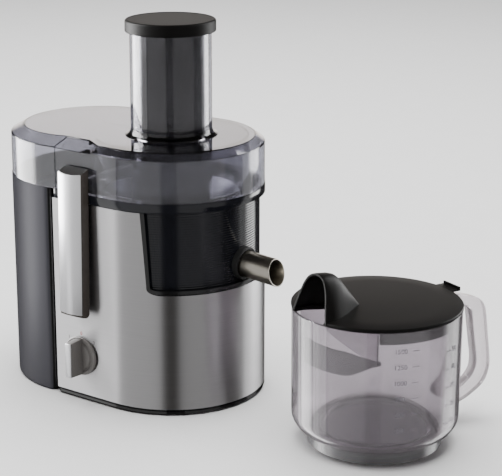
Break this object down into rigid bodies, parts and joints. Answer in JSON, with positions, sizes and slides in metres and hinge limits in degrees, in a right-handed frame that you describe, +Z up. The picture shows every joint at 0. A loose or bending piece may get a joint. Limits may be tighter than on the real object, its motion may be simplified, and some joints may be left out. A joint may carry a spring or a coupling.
{
  "type": "centrifugal juicer",
  "caption": "Upright centrifugal juicer with steel wrap, clear domed lid, wide feed tube and pusher, side clamps, dial, pulp bin and a lidded juice jug.",
  "frame": {"origin": "centre of the footprint of juicer and jug together, on the table", "axes": "+Z up, +Y from the jug and spout towards the pulp bin, +X towards the side without the dial"},
  "size_m": [0.2362, 0.5006, 0.373],
  "materials": {
    "brushed_steel": "satin",
    "polished_steel": "polished",
    "black_plastic": "gloss",
    "dark_grey_plastic": "satin",
    "silver_paint": "satin",
    "shell_grey": "gloss",
    "smoke_clear": "clear gloss",
    "jug_clear": "clear gloss",
    "dark_clear": "clear gloss",
    "rubber": "matte",
    "cast_alloy": "as cast",
    "motor_iron": "satin",
    "circuit_board": "satin",
    "zinc_plated": "satin"
  },
  "bodies": {
    "base": {"base_tray": "black_plastic", "front_left_foot": "rubber", "front_right_foot": "rubber", "back_left_foot": "rubber", "back_right_foot": "rubber", "front_left_screw": "zinc_plated", "front_right_screw": "zinc_plated", "back_left_screw": "zinc_plated", "back_right_screw": "zinc_plated", "motor_housing": "black_plastic", "steel_wrap": "brushed_steel", "window_bezel": "black_plastic", "juice_collector": "dark_clear", "spout": "polished_steel", "spout_seal": "rubber", "speed_switch": "dark_grey_plastic", "circuit_breaker": "black_plastic", "control_board": "circuit_board", "cord_inlet": "rubber", "motor_stator": "motor_iron", "upper_bearing": "cast_alloy", "lower_bearing": "cast_alloy", "motor_plate": "cast_alloy", "shaft_seal": "rubber"},
    "lid": {"lid": "smoke_clear"},
    "pusher": {"pusher_sleeve": "dark_clear", "pusher_cap": "black_plastic"},
    "pulp_bin": {"pulp_bin": "shell_grey"},
    "left_arm": {"left_arm_core": "dark_grey_plastic", "left_arm_cover": "silver_paint", "left_arm_pin": "zinc_plated"},
    "right_arm": {"right_arm_core": "dark_grey_plastic", "right_arm_cover": "silver_paint", "right_arm_pin": "zinc_plated"},
    "dial": {"dial_knob": "dark_grey_plastic", "dial_insert": "silver_paint", "dial_shaft": "cast_alloy"},
    "drive": {"basket_frame": "dark_clear", "filter_screen": "polished_steel", "grating_disc": "polished_steel", "drive_coupling": "dark_grey_plastic", "motor_shaft": "polished_steel", "motor_rotor": "motor_iron", "cooling_fan": "black_plastic"},
    "jug": {"jug_body": "jug_clear"},
    "jug_lid": {"jug_lid": "black_plastic", "froth_separator": "dark_clear"}
  },
  "joints": [
    {"name": "lid_lift", "type": "slide", "parent": "base", "child": "lid", "axis": [0, 0, 1], "range_m": [0, 0.12]},
    {"name": "pusher_slide", "type": "slide", "parent": "lid", "child": "pusher", "axis": [0, 0, 1], "range_m": [0, 0.215]},
    {"name": "pulp_bin_draw", "type": "slide", "parent": "base", "child": "pulp_bin", "axis": [0, 1, 0], "range_m": [0, 0.11]},
    {"name": "left_arm_pivot", "type": "hinge", "parent": "base", "child": "left_arm", "pos_m": [-0.10305, 0.1113, 0.0946], "axis": [0, -1, 0], "range_deg": [0, 35]},
    {"name": "right_arm_pivot", "type": "hinge", "parent": "base", "child": "right_arm", "pos_m": [0.09175, 0.1113, 0.0946], "axis": [0, 1, 0], "range_deg": [0, 35]},
    {"name": "dial_turn", "type": "hinge", "parent": "base", "child": "dial", "pos_m": [-0.09765, 0.1113, 0.0468], "axis": [1, 0, 0], "range_deg": [-45, 45]},
    {"name": "drive_spin", "type": "hinge", "parent": "base", "child": "drive", "pos_m": [-0.00565, 0.0683, 0.141], "axis": [0, 0, 1], "continuous": true},
    {"name": "jug_lift", "type": "slide", "parent": "base", "child": "jug", "axis": [0, 0, 1], "range_m": [0, 0.15]},
    {"name": "jug_lid_lift", "type": "slide", "parent": "jug", "child": "jug_lid", "axis": [0, 0, 1], "range_m": [0, 0.06]}
  ]
}
